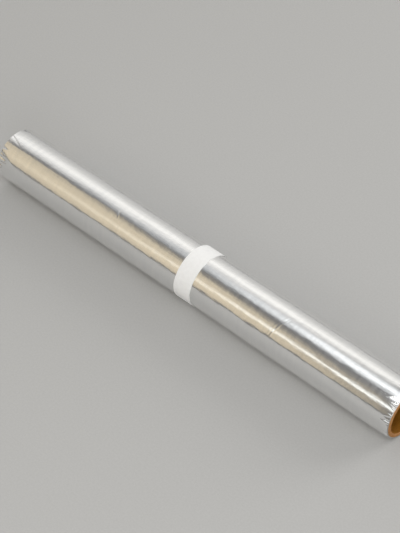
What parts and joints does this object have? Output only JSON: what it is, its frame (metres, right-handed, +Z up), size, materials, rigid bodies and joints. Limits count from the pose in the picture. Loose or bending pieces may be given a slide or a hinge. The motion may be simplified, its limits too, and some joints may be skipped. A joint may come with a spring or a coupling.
{
  "type": "aluminium foil roll",
  "caption": "Household aluminium foil wound on a spiral cardboard tube, ends lightly crushed, closed by a white paper band round the middle; lies on its side.",
  "frame": {"origin": "under the middle of the roll, in the plane that it lies on", "axes": "+X along the roll to the end where the tube stands out, +Z up, the side seen in the picture towards -Y"},
  "size_m": [0.3008, 0.0341, 0.0335],
  "materials": {
    "kraft_board": "matte",
    "foil": "polished",
    "white_paper": "matte"
  },
  "bodies": {
    "root": {"core_tube": "kraft_board", "foil_roll": "foil", "paper_band": "white_paper"}
  },
  "joints": []
}
